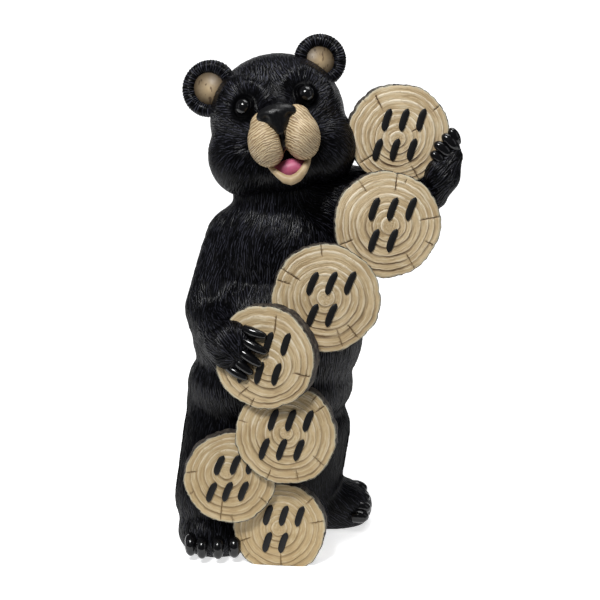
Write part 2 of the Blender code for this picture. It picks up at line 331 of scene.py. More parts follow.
# %% Gloss black
def gloss_paint():
    material, paint, shader = new_paint("gloss_black", coat=0.2, specular=0.35)
    shader.inputs["Coat Roughness"].default_value = 0.05
    cloud = paint.cloud(60.0)
    colour = paint.mixed(cloud, (0.0015, 0.0015, 0.0018), (0.004, 0.004, 0.0045))
    normal = paint.bump(paint.cloud(240.0, 2.0), 0.00012, 0.5)
    dress(shader, colour, 0.13 + 0.12 * cloud, normal)
    return material


def stroke_paint():
    """The same black brushed on the slices, drier and so less glossy."""
    material, paint, shader = new_paint("stroke_black", specular=0.3)
    cloud = paint.cloud(150.0)
    colour = paint.mixed(cloud, (0.0035, 0.0035, 0.0038), (0.010, 0.0095, 0.0095))
    dress(shader, colour, 0.34 + 0.2 * cloud, paint.bump(cloud, 0.0002, 0.6))
    return material


def nose_paint():
    """Semi-gloss over a leathery grain."""
    material, paint, shader = new_paint("nose_black", specular=0.28)
    leather = paint.cloud(420.0, 2.0)
    colour = paint.mixed(leather, (0.0012, 0.0012, 0.0014), (0.005, 0.005, 0.006))
    dress(shader, colour, 0.30 + 0.16 * leather, paint.bump(leather, 0.00045, 0.8))
    return material


GLOSS = gloss_paint()
NOSE = nose_paint()
STROKE = stroke_paint()

# %% [markdown]
# Sawn wood has three coats: a tan ground, a brown wash in the low lines and cracks, and a pale dry brush on
# the crests. Painted shade darkens the low lines in each slice's lower half, and the lower slices as a whole;
# a painted highlight makes the crests paler in the upper half. The mesh carries where they all go, as
# numbers.


# %% Sawn wood and bark
def wood_paint():
    material, paint, shader = new_paint("sawn_wood", specular=0.35)
    spot = paint.spot()
    wash_and_shade = paint.attribute("wash_and_shade", 2)
    crest = paint.attribute("crest", 2)
    rim = paint.attribute("rim", 2)
    broad = paint.cloud(28.0)
    small = paint.noise(spot, 190.0, detail=3.0, roughness=0.6)
    grain = paint.stretched(paint.attribute("grain", 1), (0.55, 0.7, 0.7))
    lines = paint.noise(grain, 1.0, detail=2.0, roughness=0.6)
    colour = paint.mixed(broad.between(0.35, 0.65), (0.52, 0.385, 0.215), (0.65, 0.505, 0.305))
    colour = paint.mixed((1 - lines).between(0.52, 0.66) * 0.6, colour, (0.33, 0.225, 0.115))
    colour = paint.mixed(lines.between(0.54, 0.66) * 0.6, colour, (0.78, 0.69, 0.49))
    colour = paint.mixed((small.between(0.5, 0.8) * 0.35), colour, (0.42, 0.26, 0.12))
    # Pale dry brush on the crests, with a painted highlight that makes it stronger in each slice's upper
    # half.
    colour = paint.mixed((crest * small.between(0.25, 0.5)).clamped() * 0.9, colour, (0.93, 0.84, 0.66))
    # The brown wash in the low lines and cracks, with painted shade that makes the low lines darker in each
    # slice's lower half.
    colour = paint.mixed((wash_and_shade * (0.75 + 0.5 * small)).clamped(), colour, (0.085, 0.045, 0.020))
    # Painted shade: the lower slices are darker, as the light falls off towards the bottom.
    colour = paint.mixed(paint.attribute("painted_shade", 2) * 0.55, colour, (0.33, 0.235, 0.105))
    greyed = (rim * (small.between(0.35, 0.6) * 1.3)).clamped() * 0.8
    colour = paint.mixed(greyed, colour, (0.50, 0.49, 0.36))
    dress(shader, colour, 0.46 + 0.2 * small, paint.bump(0.5 * small + 1.6 * lines, 0.00060, 1.0))
    return material


def bark_paint():
    material, paint, shader = new_paint("bark", specular=0.3)
    spot = paint.spot()
    crest = paint.attribute("crest", 2)
    lumps = paint.noise(spot, 150.0, detail=5.0, roughness=0.65)
    colour = paint.mixed(lumps.between(0.35, 0.7), (0.018, 0.014, 0.012), (0.085, 0.068, 0.055))
    colour = paint.mixed((crest * lumps.between(0.4, 0.6)).clamped() * 0.7, colour, (0.36, 0.34, 0.26))
    dress(shader, colour, 0.7 + 0.2 * lumps, paint.bump(lumps, 0.0012, 0.9))
    return material


WOOD = wood_paint()
BARK = bark_paint()


# %% Tan muzzle, inner ears and tongue
GROOVE_SPACING = 2.7


def tan_paint():
    material, paint, shader = new_paint("tan_muzzle", specular=0.4)
    spot = paint.spot()
    wash_and_shade = paint.attribute("wash_and_shade", 2)
    black = paint.attribute("black", 2)
    groove = paint.attribute("groove", 2)
    strand = paint.attribute("strand", 1)
    across = paint.stretched(strand, (0.314 / GROOVE_SPACING, 0.055, 1.0))
    broken = paint.noise(paint.stretched(strand, (0.30, 0.09, 1.0)), 1.0, detail=2.0).between(0.32, 0.55)
    values = {"Vector": across, "Scale": 1.0, "Distortion": 5.5, "Detail": 2.0, "Detail Scale": 1.8}
    wave = paint.node("ShaderNodeTexWave", {"bands_direction": "X"}, values, output=1)
    broad = paint.cloud(45.0)
    small = paint.cloud(420.0)
    specks = paint.noise(paint.stretched(spot, (1.0, 1.0, 0.4)), 300.0, detail=1.0).between(0.60, 0.66)
    low = (1 - wave.between(0.0, 0.45)) * groove
    colour = paint.mixed(broad.between(0.3, 0.7), (0.43, 0.315, 0.175), (0.56, 0.43, 0.26))
    colour = paint.mixed(wave.between(0.6, 0.95) * groove * 0.5, colour, (0.72, 0.60, 0.40))
    colour = paint.mixed(low * broken * 0.85, colour, (0.22, 0.13, 0.065))
    # Dark brown from the mesh: painted shade under the muzzle's lobes and inside the lip, a patchy tone on
    # the lip, and a darker ring towards the rims of the ears' plates.
    colour = paint.mixed((wash_and_shade * (0.7 + 0.5 * small)).clamped(), colour, (0.17, 0.095, 0.045))
    colour = paint.mixed((specks * paint.attribute("speckle", 2)).clamped(), colour, (0.11, 0.06, 0.03))
    colour = paint.mixed(black, colour, (0.0015, 0.0015, 0.0018))
    normal = paint.bump(wave * groove * (0.35 + 0.65 * broken) + 0.3 * small, 0.00055, 1.0)
    dress(shader, colour, 0.38 + 0.16 * small, normal)
    return material


def tongue_paint():
    material, paint, shader = new_paint("tongue")
    cloud = paint.cloud(160.0)
    colour = paint.mixed(cloud, (0.42, 0.075, 0.16), (0.56, 0.15, 0.25))
    dress(shader, colour, 0.40 + 0.14 * cloud, paint.bump(cloud, 0.0003, 0.5))
    return material


def paper_paint():
    material, paint, shader = new_paint("white_paper", roughness=0.9, specular=0.1)
    grain = paint.cloud(3.0, 2.0)
    shader.inputs["Emission Color"].default_value = (1, 1, 1, 1)
    shader.inputs["Emission Strength"].default_value = 0.66
    feed(shader, "Base Color", paint.mixed(grain, (0.88, 0.88, 0.88), (0.90, 0.90, 0.90)))
    return material


TAN = tan_paint()
TONGUE = tongue_paint()
paper.data.materials.append(paper_paint())
print(len(bpy.data.materials), "materials")

# %% [markdown]
# ## From a mesh to a piece
#
# Every piece rides on the one body, gets its paints and hides the plain solid. One function does it all.


# %% Pieces
def as_piece(data, materials):
    """Puts a mesh in the scene as a piece on the one body, with its paints, and hides the casting's plain
    solid.
    """
    for material in materials:
        data.materials.append(material)
    piece = bpy.data.objects.new(data.name, data)
    bpy.context.scene.collection.objects.link(piece)
    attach(piece, "root")
    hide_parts(CASTING)
    return piece


def from_arrays(name, points, faces):
    """A mesh from points in metres, shaded smooth."""
    data = bpy.data.meshes.new(name)
    data.from_pydata([tuple(point) for point in points], [], [tuple(face) for face in faces])
    data.validate()
    data.shade_smooth()
    return data


def grid_faces(rows, columns, closed_rows=False, closed_columns=True):
    """Quads over a grid of points that is stored row by row."""
    faces = []
    for i in range(rows if closed_rows else rows - 1):
        for j in range(columns if closed_columns else columns - 1):
            here, there = i * columns, (i + 1) % rows * columns
            k = (j + 1) % columns
            faces.append((here + j, here + k, there + k, there + j))
    return faces


def tube_faces(base, rows, columns):
    """A closed tube over a grid of points, the first of which has the number base."""
    faces = [tuple(base + corner for corner in face) for face in grid_faces(rows, columns)]
    last = base + (rows - 1) * columns
    return faces + [tuple(range(base, base + columns))[::-1], tuple(range(last, last + columns))]


def store(data, name, values, kind="FLOAT", domain="POINT"):
    """Keeps one number or vector per point or corner on the mesh, for the shader."""
    layer = data.attributes.new(name, kind, domain)
    layer.data.foreach_set("value" if kind == "FLOAT" else "vector", np.asarray(values, np.float32).ravel())


def read_points(data, name="co"):
    rows = np.empty(len(data.vertices) * 3, np.float32)
    data.vertices.foreach_get(name, rows)
    return rows.reshape(-1, 3).astype(float)


def read_normals(data):
    return read_points(data, "normal")


def read_corners(data):
    """The number of the point at each corner of each face."""
    corners = np.empty(len(data.loops), np.int32)
    data.loops.foreach_get("vertex_index", corners)
    return corners


def store_strands(data, across, along, number):
    """Keeps millimetres across and along the hair on each corner, and a number that tells tufts apart."""
    store(data, "strand", np.stack([across, along, number], 1), "FLOAT_VECTOR", "CORNER")


def write_points(data, points):
    data.vertices.foreach_set("co", points.astype(np.float32).ravel())
    data.update()


def unit(rows):
    return rows / np.maximum(np.linalg.norm(rows, axis=-1, keepdims=True), 1e-9)


def step(low, high, values):
    """Nothing below low, one above high, and a smooth rise between."""
    t = np.clip((values - low) / (high - low), 0, 1)
    return t * t * (3 - 2 * t)


print("piece helpers are ready")

# %% [markdown]
# ## Log slices
#
# Each slice is one polar grid: from the pith over the growth rings and the bark, and back in behind. Sawn
# rings are terraces: outwards the wood climbs gently and then drops. The grid's lines follow rings and
# cracks, so both come out crisp with few faces.

# %% Where the slices are
SLICE_THICKNESS = 24
FIRST_SLICE_Y = -34
SLICES = (
    dict(x=87.6, z=488.2, steps=0.00, radius=57.5, turn=4, lean=0,
         strokes=(3, 3), pith=(-0.03, -0.11), rings=7,
         cracks=((121, 0.56, 0.90), (136, 0.89, 1.0), (35, 0.76, 0.95), (25, 0.26, 0.52), (216, 0.50, 0.93),
                 (-65, 0.62, 1.0))),
    dict(x=74.2, z=389.2, steps=0.95, radius=61.0, turn=3, lean=3,
         strokes=(3, 2), pith=(0.06, -0.02), rings=7,
         cracks=((123, 0.70, 1.0), (79, 0.60, 1.0), (67, 0.78, 0.90), (8, 0.54, 0.97), (-58, 0.60, 0.97),
                 (-24, 0.72, 0.94), (203, 0.66, 0.96))),
    dict(x=5.2, z=308.6, steps=1.92, radius=62.0, turn=4, lean=4,
         strokes=(3, 2), pith=(0.0, 0.03), rings=7,
         cracks=((95, 0.74, 1.0), (145, 0.52, 0.97), (158, 0.64, 0.95), (-71, 0.55, 0.92),
                 (-51, 0.58, 0.93))),
    dict(x=-64.4, z=247.2, steps=3.00, radius=59.0, turn=-17, lean=3,
         strokes=(3, 3), pith=(0.14, -0.18), rings=6,
         cracks=((75, 0.52, 0.86), (70, 0.90, 1.0), (-18, 0.50, 0.94), (236, 0.60, 0.90), (255, 0.74, 1.0))),
    dict(x=-40.0, z=157.6, steps=2.83, radius=58.0, turn=-7, lean=4,
         strokes=(3, 3), pith=(0.02, 0.04), rings=7,
         cracks=((165, 0.74, 0.95), (132, 0.70, 0.98), (38, 0.68, 0.95), (53, 0.80, 1.0), (-38, 0.62, 0.96),
                 (-74, 0.66, 0.92), (-112, 0.72, 1.0))),
    dict(x=-102.2, z=105.0, steps=2.60, radius=53.0, turn=5, lean=5,
         strokes=(3, 3), pith=(-0.10, 0.20), rings=6,
         cracks=((256, 0.52, 0.94), (201, 0.80, 0.93), (-37, 0.75, 1.0), (172, 0.66, 0.95),
                 (-88, 0.80, 0.98))),
    dict(x=-47.8, z=42.0, steps=2.33, radius=54.0, turn=-7, lean=8,
         strokes=(3, 2), pith=(0.0, 0.02), rings=7,
         cracks=((-86, 0.50, 1.0), (200, 0.60, 0.95), (12, 0.62, 0.96), (44, 0.74, 0.97), (222, 0.78, 0.96))),
)
HELD = SLICES[3]
RAISED = SLICES[0]


def slice_face(log):
    """A slice's place and turn: its x and y lie in the sawn face and its z points out of it."""
    y = FIRST_SLICE_Y - log["steps"] * SLICE_THICKNESS
    upright = Matrix.Rotation(math.pi / 2, 4, "X")
    leaned = Matrix.Rotation(-math.radians(log["lean"]), 4, "X")
    turned = Matrix.Rotation(math.radians(log["turn"]), 4, "Z")
    return Matrix.Translation((log["x"], y, log["z"])) @ turned @ leaned @ upright


def slice_normal(log):
    return slice_face(log).to_3x3() @ Vector((0, 0, 1))


def on_slice(log, x, z, lift):
    """The point at x and z on a slice's sawn face, raised off it by lift."""
    normal = slice_normal(log)
    middle = slice_face(log).translation
    y = middle.y - (normal.x * (x - middle.x) + normal.z * (z - middle.z)) / normal.y
    return Vector((x, y, z)) + normal * lift


def placed(log, local):
    """Rows of x, y and z on a slice, in parts, as metres in the frame."""
    face = slice_face(log)
    return rows_in_metres(local @ np.array(face.to_3x3()).T + np.array(face.translation))


print(len(SLICES), "slices, the first at", [round(c, 3) for c in metres(slice_face(RAISED).translation)])

# %% [markdown]
# A ring is eight lines of the grid: two for the drop, one for the groove below it and the rest for the
# climb. Each crack gets five lines of its own, close together, that wander a little on their way in.

# %% The grid of one slice
RING_DROP = 0.26
RING_LINE = 0.22
RING_PHASES = (0.0, 0.05, 0.11, 0.20, 0.40, 0.65, 0.86, 0.95)
CRACK_LINES = (-0.95, -0.45, 0.0, 0.45, 0.95)
CHAMFER = 1.5
CRACK_DEPTH = 1.5
BARK_DEPTHS = (-1.3, -2.4, -4.0, -6.2, -8.8, -11.5, -14.2, -17.0, -19.6, -21.6, -23.0, -24.0)


def outline(angles, number):
    """How far the bark is from the middle, as a share of the radius."""
    broad = 0.012 * np.sin(3 * angles + number) + 0.009 * np.sin(7 * angles + 2.1 * number)
    chips = np.maximum(0, np.sin(23 * angles + number) * np.sin(9 * angles + 2 * number) - 0.15)
    return 1 + broad + 0.004 * np.sin(16 * angles + 1.3 * number) - 0.016 * chips


def grid_angles(cracks, around=200):
    """The angles of the grid's lines, and for each line the crack it belongs to, or -1."""
    angles, owners = [], []
    centres = [math.radians(angle) % (2 * math.pi) for angle, _, _ in cracks]
    for i in range(around):
        angle = 2 * math.pi * i / around
        gaps = [abs((angle - c + math.pi) % (2 * math.pi) - math.pi) for c in centres]
        if min(gaps) > math.radians(2.0):
            angles.append(angle)
            owners.append(-1)
    for owner, centre in enumerate(centres):
        for offset in CRACK_LINES:
            angles.append((centre + math.radians(offset)) % (2 * math.pi))
            owners.append(owner)
    order = np.argsort(angles)
    return np.array(angles)[order], np.array(owners)[order]


def ring_relief(phase):
    """The height within one ring, from the drop at its inner side to its crest."""
    falling = -RING_DROP * step(0.0, 0.11, phase)
    climbing = -RING_DROP * (1 - np.clip((phase - 0.11) / 0.89, 0, 1) ** 4)
    line = RING_LINE * step(0.0, 0.11, phase) * (1 - step(0.11, 0.20, phase))
    return np.where(phase < 0.11, falling, climbing) - line


def patchy(points, scale, seed):
    """Smooth noise from about -1 to 1 at rows of points."""
    shift = Vector((seed * 3.7, seed * 1.9, seed * 5.3))
    return np.array([noise.noise(Vector(point) * scale + shift) for point in points])


def face_rows(log, number, angles, owners):
    """The sawn face's rows from the pith out: places in the slice's plane, with wash, painted shade, crest,
    painted highlight and rim.
    """
    rng = np.random.default_rng(40 + number)
    edges = np.linspace(0, 0.985, log["rings"] + 1)
    edges[1:-1] += rng.uniform(-0.18, 0.18, log["rings"] - 1) / log["rings"]
    phases, levels = np.meshgrid(RING_PHASES, np.arange(log["rings"]))
    phases, levels = phases.ravel()[1:, None], levels.ravel()[1:, None]
    shares = edges[levels] + (edges[levels + 1] - edges[levels]) * phases
    turned = np.repeat(angles[None, :], len(shares), 0)
    for crack in range(len(log["cracks"])):
        wander = np.radians(0.7) * np.sin(shares * 23 + crack * 2.3) * np.sin(shares * 51 + crack)
        turned = turned + np.where(owners[None, :] == crack, wander, 0)
    wobble = 0.022 * np.sin(2 * turned + number) + 0.013 * np.sin(5 * turned + 1.7 * number + levels)
    wobble = wobble + 0.006 * np.sin(11 * turned + 2.9 * levels)
    out = log["radius"] * shares * (1 + (outline(turned, number) - 1) * shares**2 + wobble * (1 - shares**3))
    out = np.minimum(out, log["radius"] * outline(turned, number) - CHAMFER * shares)
    pith = np.array(log["pith"]) * log["radius"]
    x = out * np.cos(turned) + pith[0] * (1 - shares)
    y = out * np.sin(turned) + pith[1] * (1 - shares)
    height = np.where(levels == 0, -RING_DROP * (1 - phases) * 0.7, ring_relief(phases)) + 0 * x
    below = 0.5 - 0.5 * np.sin(turned)
    risen = step(0.0, 0.09, phases)
    # The wash in the low lines and painted shade: it is strongest in the lower half, where the steps face
    # down.
    wash_and_shade = risen * (1 - step(0.14, 0.30, phases)) * (levels > 0) * (0.05 + 0.95 * below**1.3)
    # Pale crests, with a painted highlight: strongest in the upper half, where the steps face up to the
    # light.
    crest = np.maximum(step(0.80, 0.97, phases), 1 - risen) * (levels + phases > 0.6) * (1.25 - below)
    rim = step(0.93, 1.0, shares) + 0 * x
    height = height - 0.9 * step(0.955, 1.0, shares)
    for centre, start, end in log["cracks"]:
        off = (turned - math.radians(centre) + math.pi) % (2 * math.pi) - math.pi
        near = np.abs(off) * log["radius"] * np.maximum(shares, 0.1)
        reach = step(start, start + 0.12, shares) * (1 - step(end - 0.01, end + 0.02, shares) * (end < 1))
        deep = np.clip(1 - near / 0.85, 0, 1) * reach
        height = height - CRACK_DEPTH * deep
        wash_and_shade = np.maximum(wash_and_shade, step(0.05, 0.45, deep))
        crest = crest * (1 - step(0.0, 0.3, deep))
    return x, y, height, wash_and_shade, crest, rim, log["radius"] * shares + 0 * x


def polar(out, angles, height):
    """Places at a distance and an angle from the middle, at a height."""
    return np.stack([out * np.cos(angles), out * np.sin(angles), height + 0 * out], -1)


def grain_rows(reach, angles):
    """Wood's own coordinates: how far out, and round and round."""
    return np.stack([reach, 3 * np.cos(angles) + 0 * reach, 3 * np.sin(angles) + 0 * reach], -1)


def slice_mesh(number, log):
    """A slice's rows from pith to pith, what the paint needs at each point, and the rows of face and bark."""
    angles, owners = grid_angles(log["cracks"])
    x, y, z, wash_and_shade, crest, rim, reach = face_rows(log, number, angles, owners)
    count = len(angles)
    patches = patchy(np.stack([x.ravel(), y.ravel(), z.ravel()], 1), 0.055, number).reshape(x.shape)
    wash_and_shade = np.clip(wash_and_shade * (1 + 0.9 * patches), 0, 1)
    crest = np.clip(crest * (0.85 - 0.8 * patches), 0, 1)
    rows = [np.stack([x, y, z], -1)]
    looks = [np.stack([wash_and_shade, crest, rim], -1)]
    for depth in BARK_DEPTHS:
        radius = log["radius"] * outline(angles, number)
        spots = polar(radius, angles, depth)
        rough = 0.9 * patchy(spots, 0.16, number + 9) + 0.6 * patchy(spots, 0.42, number + 17)
        inset = 0.4 + 1.3 * (1 - step(-2.6, -1.0, depth)) if depth > -2 else 0.9 + 0.8 * (depth < -23.5)
        out = radius - inset + 0.8 * rough
        rows.append(polar(out, angles, depth + 0.3 * rough)[None])
        pale = np.clip(step(-3.5, -1.0, depth) + 0.35 * rough, 0, 1)
        looks.append(np.stack([np.zeros(count), pale, np.zeros(count)], -1)[None])
    back_shares = np.linspace(0.96, 0.04, 22)[:, None]
    ring = (back_shares * log["rings"]) % 1
    out = log["radius"] * back_shares * outline(angles[None, :], number)
    drop = -SLICE_THICKNESS + 0.6 * (1 - ring)
    rows.append(polar(out, angles, drop))
    looks.append(np.stack([0.4 * (ring < 0.25) + 0 * out, 0.5 * (ring > 0.8) + 0 * out, 0 * out], -1))
    behind = np.zeros((len(BARK_DEPTHS), count, 3))
    grain = np.concatenate([grain_rows(reach, angles), behind, grain_rows(out, angles)])
    grain += np.array([0, 17.0 * number, 0])
    return np.concatenate(rows), np.concatenate(looks), grain, len(x)


def slice_piece(number, log):
    rows, looks, grain, face_count = slice_mesh(number, log)
    count = rows.shape[1]
    pith = np.array([[*(np.array(log["pith"]) * log["radius"]), -0.5 * RING_DROP], [0, 0, -23.6]])
    local = np.concatenate([rows.reshape(-1, 3), pith])
    ahead = np.roll(np.arange(count), -1)
    faces = [(a, d, c, b) for a, b, c, d in grid_faces(len(rows), count)]
    front, back = len(local) - 2, len(local) - 1
    last = (len(rows) - 1) * count
    faces += [(front, i, ahead[i]) for i in range(count)]
    faces += [(back, last + ahead[i], last + i) for i in range(count)]
    data = from_arrays(f"log_slice_{number + 1}", placed(log, local), faces)
    bark = np.zeros(len(data.polygons), np.int32)
    bark[(face_count - 1) * count : (face_count + len(BARK_DEPTHS) - 1) * count] = 1
    data.polygons.foreach_set("material_index", bark)
    looks = np.concatenate([looks.reshape(-1, 3), [[0.3, 0, 0], [0, 0, 0]]])
    for column, name in enumerate(("wash_and_shade", "crest", "rim")):
        store(data, name, looks[:, column])
    # Painted shade, from nothing on the top slice to full on the bottom one.
    store(data, "painted_shade", np.full(len(local), number / (len(SLICES) - 1)))
    store(data, "grain", np.concatenate([grain.reshape(-1, 3), np.zeros((2, 3))]), "FLOAT_VECTOR")
    data.set_sharp_from_angle(angle=math.radians(60))
    return as_piece(data, (WOOD, BARK))


for number, log in enumerate(SLICES):
    piece = slice_piece(number, log)
print("slices:", len(piece.data.polygons), "faces each")

# %% [markdown]
# ## Raised strokes
#
# Each slice has two rows of raised black strokes that slant, like short touches of a brush. A stroke is a
# strip along a slight bend, narrow at both ends, with a rounded top.

# %% Strokes
MARK_RELIEF = 1.8
MARK_WIDTH = 8.0
STROKE_ROWS = 17
STROKE_COLUMNS = 9


def stroke_points(middle, length, slant):
    """The rows of one stroke in the slice's plane."""
    along = np.array([math.sin(slant), math.cos(slant)])
    across = np.array([along[1], -along[0]])
    rows = []
    for t in np.linspace(-1, 1, STROKE_ROWS):
        spine = np.array(middle) + along * (t * length / 2) + across * (0.04 * length * t * t)
        half = MARK_WIDTH / 2 * (1 - 0.5 * t**4) * math.sqrt(max(1 - abs(t) ** 9, 0.03))
        for bend in np.linspace(-math.pi / 2, math.pi / 2, STROKE_COLUMNS):
            side = math.copysign(abs(math.sin(bend)) ** 0.7, bend)
            place = spine + across * half * side
            lift = MARK_RELIEF * math.cos(bend) ** 0.42 * (1 - 0.35 * abs(t) ** 9) - 1.2 * (abs(bend) > 1.5)
            rows.append((*place, lift))
    return rows


def stroke_piece(number, log):
    slant = math.radians(17 + 3 * (number % 3))
    points, faces = [], []
    for line, count in enumerate(log["strokes"]):
        up = log["radius"] * (0.29 - 0.58 * line)
        for i in range(count):
            right = log["radius"] * 0.34 * (i - (count - 1) / 2)
            faces += tube_faces(len(points), STROKE_ROWS, STROKE_COLUMNS)
            points += stroke_points((right + 0.3 * up, up), 0.46 * log["radius"], slant)
    data = from_arrays(f"strokes_{number + 1}", placed(log, np.array(points)), faces)
    data.set_sharp_from_angle(angle=math.radians(60))
    return as_piece(data, (STROKE,))


for number, log in enumerate(SLICES):
    stroke_piece(number, log)
print("strokes on", len(SLICES), "slices")

# %% [markdown]
# ## Melting simple masses into a body
#
# Balls and tapered limbs are melted by a voxel Remesh into one skin, and Smooth rounds the creases. The
# masses are those of the solid, so the finer skin lies where the solid is.


# %% Lumps and the melt
def add_ball(mesh, centre, radii, axes=None, detail=4):
    """An ellipsoid, with its radii along the axes given."""
    turn = (axes or Matrix.Identity(3)).to_4x4()
    place = Matrix.Translation(Vector(centre)) @ turn @ Matrix.Diagonal((*radii, 1))
    bmesh.ops.create_icosphere(mesh, subdivisions=detail, radius=1, matrix=place)


def head_lumps(*lumps):
    """Ellipsoids along the head's own axes, each given by its place and radii."""
    mesh = bmesh.new()
    for place, radii in lumps:
        add_ball(mesh, on_head(*place), radii, HEAD_AXES)
    return mesh


def ball_points():
    """The vertices of a round ball of radius one."""
    mesh = bmesh.new()
    bmesh.ops.create_icosphere(mesh, subdivisions=3, radius=1)
    points = [vert.co.copy() for vert in mesh.verts]
    mesh.free()
    return points


BALL = ball_points()


def add_limb(mesh, start, start_radius, end, end_radius):
    """Two balls and the cone between them, as the hull of both."""
    corners = []
    for centre, radius in ((start, start_radius), (end, end_radius)):
        corners += [mesh.verts.new(Vector(centre) + point * radius) for point in BALL]
    hull = bmesh.ops.convex_hull(mesh, input=corners)
    unused = [item for item in hull["geom_interior"] if isinstance(item, bmesh.types.BMVert)]
    bmesh.ops.delete(mesh, geom=unused, context="VERTS")


def in_metres(mesh, name="skin"):
    """Lumps given in parts, as a mesh in metres."""
    bmesh.ops.translate(mesh, verts=mesh.verts, vec=-MIDDLE)
    bmesh.ops.scale(mesh, verts=mesh.verts, vec=(PART, PART, PART))
    data = bpy.data.meshes.new(name)
    mesh.to_mesh(data)
    mesh.free()
    return data


def melted(mesh, grain, rounds):
    return melted_again(in_metres(mesh), grain, rounds)


def melted_again(data, grain, rounds):
    lump = bpy.data.objects.new(data.name, data)
    bpy.context.scene.collection.objects.link(lump)
    remesh = lump.modifiers.new("skin", "REMESH")
    remesh.mode = "VOXEL"
    remesh.voxel_size = grain * PART
    remesh.use_smooth_shade = True
    smooth = lump.modifiers.new("round", "SMOOTH")
    smooth.factor = 0.5
    smooth.iterations = rounds
    graph = bpy.context.evaluated_depsgraph_get()
    skin = bpy.data.meshes.new_from_object(lump.evaluated_get(graph))
    bpy.data.objects.remove(lump, do_unlink=True)
    return skin


BODY_BALLS = (
    ((-44, 4, 418), (58, 52, 40)),
    ((-46, 6, 350), (80, 66, 80)),
    ((-50, 0, 254), (101, 81, 92)),
    ((-59, 6, 192), (99, 82, 60)),
    ((-116, 2, 168), (43.5, 44, 48)),
    ((4, 6, 214), (34, 40, 40)),
    ((-60, 40, 166), (86, 58, 60)),
    ((-60, 4, 134), (86, 66, 44)),
    ((-58, 95.3, 172), (19, 20, 22)),
    ((-91, 8, 362), (44, 42, 42)),
    (on_slice(HELD, -101, 259, 0), (27, 18, 30)),
    (on_slice(RAISED, 149.5, 463, 0), (12, 13, 16)),
    (on_slice(RAISED, 137.7, 442, 1), (22, 15, 23)),
    (on_slice(RAISED, 133, 424, -6), (14, 15, 22)),
    ((-121.5, -36, 22), (47.5, 48, 33)),
    ((13, 52, 21), (54, 36, 38)),
)
BODY_LIMBS = (
    ((-103, 6, 346), 38, (-126, -12, 284), 33),
    ((-123, -16, 272), 32, on_slice(HELD, -110, 260, -8), 26),
    ((22, 2, 409), 44, (98, 0, 402), 36),
    ((103, 0, 398), 28, on_slice(RAISED, 139.5, 442, -16), 21),
    ((-114, -4, 140), 48.5, (-124, -22, 60), 49.3),
    ((-12, 16, 134), 49.5, (-13, 42, 66), 42),
    ((-22, 52, 30), 32, (28, 50, 24), 31),
)


def body_masses():
    mesh = bmesh.new()
    for ball in BODY_BALLS:
        add_ball(mesh, *ball)
    for limb in BODY_LIMBS:
        add_limb(mesh, *limb)
    return mesh


BODY_GRAINS = (4.6, 2.14)
body_skin = melted_again(melted(body_masses(), BODY_GRAINS[0], 8), BODY_GRAINS[1], 3)
print("body skin:", len(body_skin.vertices), "points")

# %% [markdown]
# ## Which way the hair lies
#
# Hair runs down the trunk and along each limb. Each limb gets a line with a direction, and a point of the
# skin mixes the directions of the lines it is near.

# %% Hair direction on the body
HAIR_LINES = (
    ((-84, 6, 384), (-108, 2, 338), 40),
    ((-108, 2, 338), (-128, -14, 284), 35),
    ((-128, -12, 288), (-112, -78, 262), 33),
    ((-116, -66, 264), (-88, -110, 254), 28),
    ((10, 2, 414), (98, 0, 404), 42),
    ((92, 0, 402), (136, -14, 440), 34),
    ((130, -12, 434), (142, -26, 474), 27),
    ((-110, -2, 160), (-125, -22, 60), 52),
    ((-123, -10, 44), (-122, -70, 14), 42),
    ((-14, 14, 150), (-13, 42, 70), 50),
    ((-16, 50, 44), (44, 52, 20), 38),
)


def hair_on_body(points, normals):
    """The hair's direction at each point, along the skin."""
    spots = rows_in_parts(points)
    lean = 0.16 * np.sin(spots[:, 0] * 0.055 + 1.0) + 0.10 * np.sin(spots[:, 2] * 0.045)
    total = 0.22 * np.stack([lean, 0 * lean, -np.ones(len(spots))], 1)
    for start, end, radius in HAIR_LINES:
        start, end = np.array(start, float), np.array(end, float)
        line = end - start
        share = np.clip((spots - start) @ line / (line @ line), 0, 1)
        away = np.linalg.norm(spots - start - share[:, None] * line, axis=1)
        weight = np.exp(-((np.maximum(away - radius, 0) / 9) ** 2))
        total += weight[:, None] * line / np.linalg.norm(line)
    total -= np.sum(total * normals, 1, keepdims=True) * normals
    return unit(total)


print("hair lines:", len(HAIR_LINES))

# %% [markdown]
# ## Tufts
#
# Carved fur is made of overlapping tufts, each a shallow blade that rises to its tip and then drops. We
# scatter seeds over the skin, lay one tuft from each along the hair, and keep the highest at every point.
# The winning tuft also gives each face its coordinates for the fine hairs.


# %% Laying tufts
CELL_PRIMES = (73856093, 19349663, 83492791)
NEAR_TUFTS = 12
TUFT_MIDDLE = 0.35


def scattered(points, spacing, rng):
    """The numbers of random points, about one in each cube of that size."""
    order = rng.permutation(len(points))
    cells = np.floor(points[order] / spacing).astype(np.int64)
    _, firsts = np.unique(cells @ np.array(CELL_PRIMES), return_index=True)
    return order[np.sort(firsts)]


def neighbours(points, seeds, count):
    """For each point, the numbers of the seeds that lie nearest."""
    tree = kdtree.KDTree(len(seeds))
    for index, seed in enumerate(seeds):
        tree.insert(seed, index)
    tree.balance()
    return np.array([[found[1] for found in tree.find_n(point, count)] for point in points])


